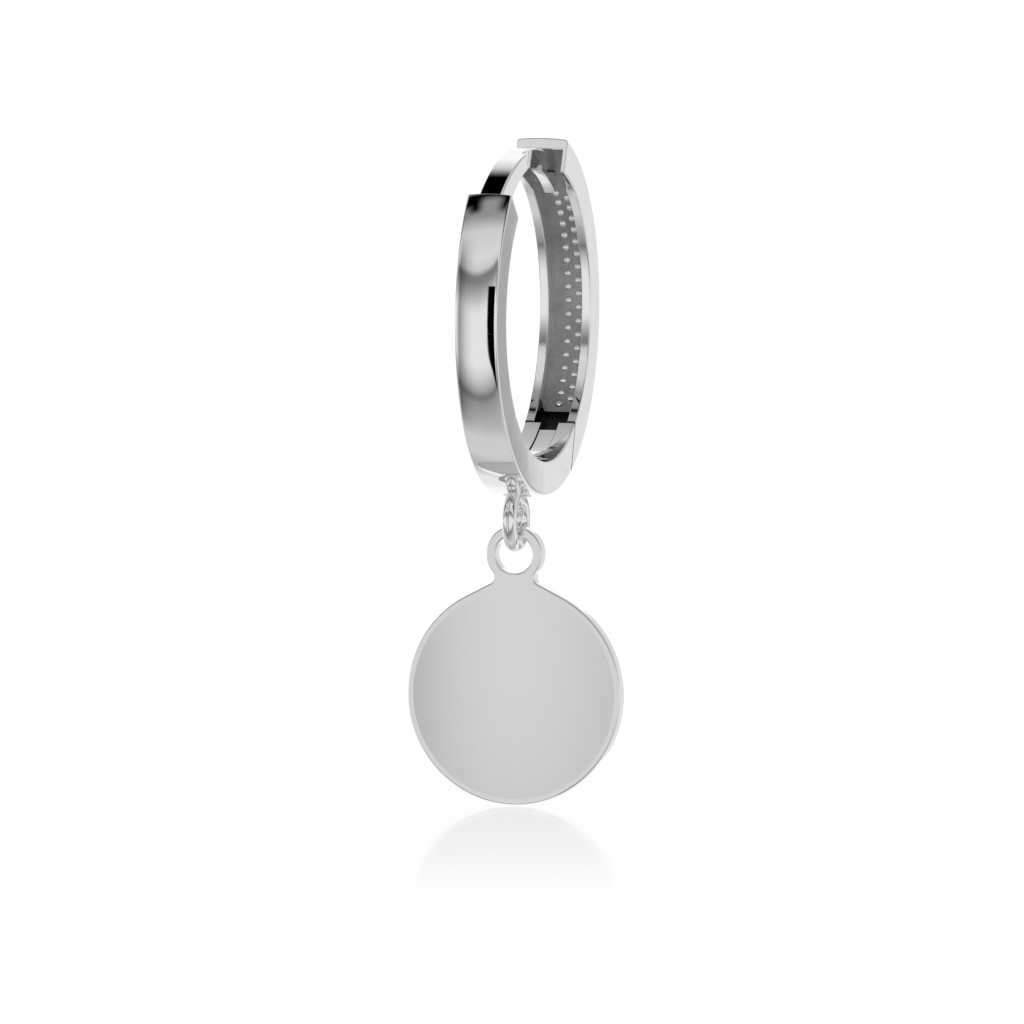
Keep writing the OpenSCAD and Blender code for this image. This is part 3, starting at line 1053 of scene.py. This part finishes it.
def disc_charm(scene):
    """Half the charm's outline, made thick, mirrored and rounded."""
    charm = scene.earring_charm
    thick = DISC_HIGH.y - DISC_LOW.y
    front = DISC_LOW.y
    centre = Vector((0, front, DISC_LOW.z + DISC_R))
    eye_centre = centre + Vector((0, 0, DISC_R + charm.rise))
    half_neck = charm.neck / 2
    bm = bmesh.new()

    def arc(middle, radius, start, angle, steps):
        """Points of an arc round Y, clockwise from an angle to the right of upright."""
        vert = bm.verts.new(middle + Vector((radius * math.sin(start), 0, radius * math.cos(start))))
        last = spin(bm, [vert], middle, (0, 1, 0), angle, steps)
        return vert, next(v for v in last if isinstance(v, bmesh.types.BMVert))

    eye_r = charm.eye / 2
    neck_turn = math.pi - math.asin(half_neck / eye_r)
    eye_top, eye_end = arc(eye_centre, eye_r, 0, neck_turn, 28)
    disc_start, disc_end = arc(centre, DISC_R, charm.shoulder, math.pi - charm.shoulder, 76)
    hole_top, hole_end = arc(eye_centre, charm.hole / 2, 0, math.pi, 32)
    shoulder_z = (DISC_R - half_neck * math.sin(charm.shoulder)) / math.cos(charm.shoulder)
    corner = bm.verts.new(centre + Vector((half_neck, 0, shoulder_z)))
    for ends in ((eye_end, corner), (corner, disc_start), (disc_end, hole_end), (hole_top, eye_top)):
        bm.edges.new(ends)
    for vert in (eye_end, corner):
        round_corner(bm, vert, charm.fillet)
    bmesh.ops.contextual_create(bm, geom=bm.edges)
    made = bmesh.ops.extrude_face_region(bm, geom=bm.faces)
    moved = [part for part in made["geom"] if isinstance(part, bmesh.types.BMVert)]
    bmesh.ops.translate(bm, verts=moved, vec=(0, thick, 0))
    seam = [f for f in bm.faces if all(abs(v.co.x) < WELD / 10 for v in f.verts)]
    bmesh.ops.delete(bm, geom=seam, context="FACES")
    bmesh.ops.mirror(
        bm,
        geom=[*bm.verts, *bm.edges, *bm.faces],
        matrix=Matrix.Identity(4),
        merge_dist=WELD,
        axis="X",
    )
    tidy_mesh(bm)
    rims = [e for e in sharp_edges(bm, 60) if abs(e.verts[0].co.y - e.verts[1].co.y) < thick / 100]
    soften(bm, rims, charm.rim_round, FINE)
    bm = combined(bm, dish(charm, centre), "DIFFERENCE")
    flat = 0.99
    for f in bm.faces:
        f.material_index = int(abs(f.normal.y) > flat)
    return bm


def dish(charm, centre):
    """A shallow lens of air that hollows the disc's front face."""
    depth, radius = charm.dish, DISC_R - charm.rim_round * 1.5
    bow = (radius**2 + depth**2) / (2 * depth)
    bm = bmesh.new()
    deepest = bm.verts.new(centre + Vector((0, depth, 0)))
    spin(bm, [deepest], centre + Vector((0, depth - bow, 0)), (1, 0, 0), radius / bow * 1.05, 21)
    spin(bm, [*bm.verts, *bm.edges], centre, (0, 1, 0), 2 * math.pi, 96)
    bmesh.ops.holes_fill(bm, edges=bm.edges, sides=0)
    bmesh.ops.triangulate(bm, faces=[f for f in bm.faces if len(f.verts) > 4])
    tidy_mesh(bm)
    return bm


# The stage


def stage(scene):
    """The white floor, the studio round the earring and the camera."""
    look = scene.earring_stage
    make_floor(look)
    make_flag(look)
    make_studio(scene)
    make_camera(scene, look)
    scene.view_settings.view_transform = "Standard"


def make_floor(look):
    """A white floor that mirrors faintly what touches it."""
    middle = Vector((0, 0, CAD_BOX[0].z - look.floor_gap))
    floor, tree = stage_card("white_floor", middle, look.floor_size, look.floor_size)
    floor.visible_glossy = False
    away = tree.add("ShaderNodeVectorMath", operation="LENGTH")
    tree.link(tree.add("ShaderNodeTexCoord").outputs["Object"], away.inputs[0])
    gloss = tree.add("ShaderNodeBsdfGlossy")
    gloss.inputs["Roughness"].default_value = look.floor_rough
    fade = tree.ramp(away.outputs["Value"], 0.0, look.mirror_fade, look.mirror, 0.0)
    mixed_surface(tree, fade, look.floor_light, gloss)


def make_flag(look):
    """A small black card over the post, out of the camera's sight, that fades away towards the back."""
    middle = Vector((-look.flag_width / 2, FRONT_LOW.y + look.flag_back, look.flag_height))
    flag, tree = stage_card("black_flag", middle, look.flag_width, look.flag_length)
    flag.visible_camera = False
    parts = tree.add("ShaderNodeSeparateXYZ")
    tree.link(tree.add("ShaderNodeTexCoord").outputs["Object"], parts.inputs[0])
    front = middle.y - look.flag_length / 2
    fade = tree.ramp(parts.outputs["Y"], front + look.flag_length * look.flag_solid, front + look.flag_length)
    mixed_surface(tree, fade, 0.0, tree.add("ShaderNodeBsdfTransparent"))


def stage_card(name, middle, width, depth):
    """A level card of the stage, and the tree of its empty material."""
    bm = bmesh.new()
    place = Matrix.Translation(middle) @ Matrix.Diagonal((width, depth, 1, 1))
    bmesh.ops.create_grid(bm, x_segments=1, y_segments=1, size=0.5, matrix=place)
    mesh = bpy.data.meshes.new(name)
    bm.to_mesh(mesh)
    bm.free()
    card = bpy.data.objects.new(name, mesh)
    bpy.context.scene.collection.objects.link(card)
    material = bpy.data.materials.new(name)
    material.use_nodes = True
    material.node_tree.nodes.clear()
    mesh.materials.append(material)
    return card, Tree(material.node_tree)


def mixed_surface(tree, mask, strength, shader):
    """A surface that gives light of a strength and turns into another shader where the mask is 1."""
    light = tree.add("ShaderNodeEmission")
    light.inputs["Strength"].default_value = strength
    mix = tree.add("ShaderNodeMixShader")
    for output, socket in zip((mask, light.outputs[0], shader.outputs[0]), mix.inputs):
        tree.link(output, socket)
    tree.link(mix.outputs[0], tree.add("ShaderNodeOutputMaterial").inputs["Surface"])


# The studio's light round the hoop's axis: pitch from the front over the top (degrees), brightness
ROUND_THE_BAND = [
    (-180, 0.78),
    (-125, 0.86),
    (-115, 0.54),
    (-108, 0.49),
    (-99, 0.65),
    (-82, 0.65),
    (-70, 0.45),
    (-56, 0.31),
    (-51, 0.18),
    (-46, 0.39),
    (-40, 0.58),
    (-34, 0.75),
    (-28, 0.83),
    (2, 0.83),
    (7, 0.74),
    (11, 0.57),
    (16, 0.41),
    (22, 0.24),
    (26.5, 0.2),
    (31, 0.62),
    (38, 0.73),
    (57, 0.66),
    (65, 0.4),
    (70, 0.27),
    (72, 0.1),
    (74, 0.0),
    (86, 0.0),
    (90, 0.32),
    (112, 0.5),
    (180, 0.78),
]
# The same light from the left to the right, in front: sine of the turn aside, share of the brightness
ACROSS_THE_BAND = [
    (-1, 1.05),
    (-0.68, 1.05),
    (-0.6, 0.85),
    (-0.54, 0.85),
    (-0.507, 0.62),
    (-0.48, 0.33),
    (-0.453, 0.5),
    (-0.425, 0.61),
    (-0.398, 0.77),
    (-0.344, 0.92),
    (-0.3, 1.0),
]
# Dark or bright cards: pitch, half pitch, softness (degrees), side, half side, softness (sines), brightness
CARDS = [
    ("arch", 74.5, 7, 3.5, -0.23, 0.095, 0.055, 0.3),
    ("left of the arch", 72.5, 4, 3, -0.55, 0.12, 0.05, 0.25),
    ("right of the arch", 72.5, 4, 3, 0.08, 0.11, 0.05, 0.25),
    ("right behind", 180, 35, 8, 0.4605, 0.155, 0.008, 0.42),
    ("left behind", 180, 40, 10, -0.6, 0.65, 0.05, 1.0),
]
# The black camera: pitch, half pitch, left and right sides, and how far its left side leans in at the bottom
CAMERA_CARD = (-18, 38.5, -0.105, 0.06, 0.14)
# The bright panel's edges bend up beside its middle: sine of the middle, radians over sines squared, most
PANEL_MIDDLE, PANEL_BEND, PANEL_MOST = -0.27, 2.3, 0.07
# What counts as in front: its middle pitch, and how far off it starts and ends to fade (degrees)
IN_FRONT = (-10, 45, 75)


def make_studio(scene):
    """White light from all round, with dark gaps and cards where the metal mirrors them."""
    world = bpy.data.worlds.new("Studio")
    scene.world = world
    world.use_nodes = True
    world.node_tree.nodes.clear()
    tree = Tree(world.node_tree)
    where = tree.add("ShaderNodeTexCoord")
    parts = tree.add("ShaderNodeSeparateXYZ")
    tree.link(where.outputs["Generated"], parts.inputs[0])
    side, depth, up = parts.outputs
    pitch = tree.math("ARCTAN2", up, tree.math("MULTIPLY", depth, -1.0))
    middle, near, far = IN_FRONT
    front = tree.ramp(from_middle(tree, pitch, middle), math.radians(near), math.radians(far), 1.0, 0.0)
    aside = tree.math("POWER", tree.math("ABSOLUTE", tree.math("SUBTRACT", side, PANEL_MIDDLE)), 2.0)
    bend = tree.math("MULTIPLY", tree.math("MINIMUM", aside, PANEL_MOST), PANEL_BEND)
    bent = tree.math("SUBTRACT", pitch, tree.math("MULTIPLY", bend, front))
    light = profile(tree, tree.math("DIVIDE", bent, 2 * math.pi), [(d / 360, v) for d, v in ROUND_THE_BAND])
    across = profile(tree, tree.math("DIVIDE", side, 2.0), [(d / 2, v) for d, v in ACROSS_THE_BAND])
    light = tree.math("MULTIPLY", light, lerp(tree, 1.0, across, front))
    for _, level, half_level, soft_level, place, half_place, soft_place, tone in CARDS:
        half_level, soft_level = math.radians(half_level), math.radians(soft_level)
        off_level = from_middle(tree, pitch, level)
        off_place = tree.math("ABSOLUTE", tree.math("SUBTRACT", side, place))
        mask = tree.math(
            "MULTIPLY",
            tree.ramp(off_level, half_level - soft_level, half_level + soft_level, 1.0, 0.0),
            tree.ramp(off_place, half_place - soft_place, half_place + soft_place, 1.0, 0.0),
        )
        light = lerp(tree, light, tone, mask)
    light = lerp(tree, light, 0.0, camera_mask(tree, pitch, side))
    seen = tree.add("ShaderNodeLightPath")
    light = lerp(tree, light, 1.0, seen.outputs["Is Camera Ray"])
    background = tree.add("ShaderNodeBackground")
    tree.link(light, background.inputs["Color"])
    output = tree.add("ShaderNodeOutputWorld")
    tree.link(background.outputs[0], output.inputs["Surface"])


def camera_mask(tree, pitch, side):
    """Where the black camera is mirrored: an upright strip that narrows to a point at the bottom."""
    level, half_level, left, right, lean = CAMERA_CARD
    low, high = math.radians(level - half_level), math.radians(level + half_level)
    edge = tree.ramp(pitch, low, math.radians(level), left + lean, left)
    soft = 0.01
    from_left = tree.ramp(tree.math("SUBTRACT", side, edge), -soft, soft)
    to_right = tree.ramp(side, right - soft, right + soft, 1.0, 0.0)
    from_low = tree.ramp(pitch, low - soft, low)
    to_high = tree.ramp(pitch, high, high + soft, 1.0, 0.0)
    across = tree.math("MULTIPLY", from_left, to_right)
    return tree.math("MULTIPLY", across, tree.math("MULTIPLY", from_low, to_high))


def profile(tree, value, stops):
    """Looks a value between -0.5 and 0.5 up in a list of places and brightnesses."""
    ramp = tree.add("ShaderNodeValToRGB")
    tree.link(tree.math("ADD", value, 0.5), ramp.inputs["Fac"])
    elements = ramp.color_ramp.elements
    elements.remove(elements[-1])
    for i, (place, tone) in enumerate(stops):
        element = elements.new(place + 0.5) if i else elements[0]
        element.position = place + 0.5
        element.color = (tone, tone, tone, 1)
    return ramp.outputs["Color"]


def from_middle(tree, pitch, degrees):
    """How far a pitch lies from another, the short way round."""
    off = tree.math("SUBTRACT", pitch, math.radians(degrees))
    return tree.math("ABSOLUTE", tree.math("WRAP", off, math.pi, -math.pi))


def lerp(tree, first, second, mask):
    """Mixes a value with another value or a number by a mask."""
    node = tree.add("ShaderNodeMix", data_type="FLOAT")
    for name, value in (("Factor", mask), ("A", first), ("B", second)):
        tree.feed(value, node.inputs[name])
    return node.outputs["Result"]


def make_camera(scene, look):
    """A long view from the front right, a little over the horizon, framed as the picture is."""
    data = bpy.data.cameras.new("camera")
    camera = bpy.data.objects.new("camera", data)
    scene.collection.objects.link(camera)
    data.type = "ORTHO"
    data.ortho_scale = look.field
    data.clip_start = look.distance / 100
    data.clip_end = look.distance * 100
    side, rise = look.azimuth, look.elevation
    back = Vector((math.sin(side) * math.cos(rise), -math.cos(side) * math.cos(rise), math.sin(rise)))
    camera.rotation_mode = "QUATERNION"
    camera.rotation_quaternion = (-back).to_track_quat("-Z", "Y")
    right = camera.rotation_quaternion @ Vector((1, 0, 0))
    up = camera.rotation_quaternion @ Vector((0, 1, 0))
    pixel = look.field / look.picture
    middle = look.picture / 2
    aim = hoop_centre(scene.earring_hoop)
    aim += right * (middle - look.centre_u) * pixel + up * (look.centre_v - middle) * pixel
    camera.location = aim + back * look.distance
    scene.camera = camera


# Operators


def add_piece(scene, name, make, body, node, *materials, slot="polished_silver"):
    """Makes one piece, checks that it has faces, and puts it in place of its CAD node."""
    bm = make(scene)
    if not bm.faces:
        raise RuntimeError(f"{name} has no faces")
    metals = finishes(scene)
    piece = finished(name, bm, body, [metals[m] for m in materials])
    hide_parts(node)


class EARRING_OT_front_half(bpy.types.Operator):
    """Adds the front half's band and ear post"""

    bl_idname = "earring.front_half"
    bl_label = "Front Half"

    def execute(self, context):
        add_piece(context.scene, "front_band", front_band, "front", "front_half", "Polished silver")
        add_piece(context.scene, "ear_post", ear_post, "front", "front_half", "Polished silver")
        return {"FINISHED"}


class EARRING_OT_jump_ring(bpy.types.Operator):
    """Adds the jump ring and its solder"""

    bl_idname = "earring.jump_ring"
    bl_label = "Jump Ring"

    def execute(self, context):
        add_piece(context.scene, "jump_ring", jump_ring, "front", "front_half", "Polished silver")
        add_piece(context.scene, "ring_solder", solder, "front", "front_half", "Cast silver")
        return {"FINISHED"}


class EARRING_OT_hinge_pin(bpy.types.Operator):
    """Adds the hinge pin"""

    bl_idname = "earring.hinge_pin"
    bl_label = "Hinge Pin"

    def execute(self, context):
        add_piece(context.scene, "pin", hinge_pin, "front", "hinge_pin", "Polished silver")
        return {"FINISHED"}


class EARRING_OT_back_band(bpy.types.Operator):
    """Adds the back half's band with its mouth, channel and well"""

    bl_idname = "earring.back_band"
    bl_label = "Back Band"

    def execute(self, context):
        # The last metal paints the well near black: painted shade, with some tarnish.
        metals = ("Polished silver", "Blasted silver", "Cast silver", "Tarnish and painted shade")
        add_piece(context.scene, "back_band", back_band, "back", "back_half", *metals)
        return {"FINISHED"}


class EARRING_OT_back_parts(bpy.types.Operator):
    """Adds the catch tongue, the beads and the knuckle of the back half"""

    bl_idname = "earring.back_parts"
    bl_label = "Catch, Beads and Knuckle"

    def execute(self, context):
        for name, make in (("catch_tongue", catch_tongue), ("channel_beads", beads), ("knuckle", knuckle)):
            add_piece(context.scene, name, make, "back", "back_half", "Polished silver")
        return {"FINISHED"}


class EARRING_OT_charm(bpy.types.Operator):
    """Adds the disc charm with its eye"""

    bl_idname = "earring.charm"
    bl_label = "Disc Charm"

    def execute(self, context):
        metals = ("Polished silver", "Satin silver")
        add_piece(context.scene, "disc", disc_charm, "charm", "disc_charm", *metals, slot="satin_silver")
        return {"FINISHED"}


class EARRING_OT_stage(bpy.types.Operator):
    """Adds the floor, the studio light and the camera"""

    bl_idname = "earring.stage"
    bl_label = "Stage"

    def execute(self, context):
        stage(context.scene)
        if context.scene.camera is None:
            raise RuntimeError("the stage has no camera")
        return {"FINISHED"}


OPERATORS = (
    EARRING_OT_front_half,
    EARRING_OT_jump_ring,
    EARRING_OT_hinge_pin,
    EARRING_OT_back_band,
    EARRING_OT_back_parts,
    EARRING_OT_charm,
    EARRING_OT_stage,
)


class EARRING_PT_panel(bpy.types.Panel):
    """Lists the earring's operators and sizes"""

    bl_label = "Hoop Charm Earring"
    bl_idname = "EARRING_PT_panel"
    bl_space_type = "VIEW_3D"
    bl_region_type = "UI"
    bl_category = "Earring"

    def draw(self, context):
        for operator in OPERATORS:
            self.layout.operator(operator.bl_idname)
        for name, group in GROUPS.items():
            box = self.layout.box()
            box.label(text=group.__name__.replace("Earring", ""))
            for key in group.__annotations__:
                box.prop(getattr(context.scene, name), key)


def register():
    for group in GROUPS.values():
        bpy.utils.register_class(group)
    for name, group in GROUPS.items():
        setattr(bpy.types.Scene, name, PointerProperty(type=group))
    for cls in (*OPERATORS, EARRING_PT_panel):
        bpy.utils.register_class(cls)


def unregister():
    for cls in (EARRING_PT_panel, *reversed(OPERATORS)):
        bpy.utils.unregister_class(cls)
    for name, group in GROUPS.items():
        delattr(bpy.types.Scene, name)
        bpy.utils.unregister_class(group)


def main():
    """Builds the earring and its stage."""
    register()
    bpy.ops.earring.front_half()
    bpy.ops.earring.jump_ring()
    bpy.ops.earring.hinge_pin()
    bpy.ops.earring.back_band()
    bpy.ops.earring.back_parts()
    bpy.ops.earring.charm()
    bpy.ops.earring.stage()


if __name__ == "__main__":
    main()
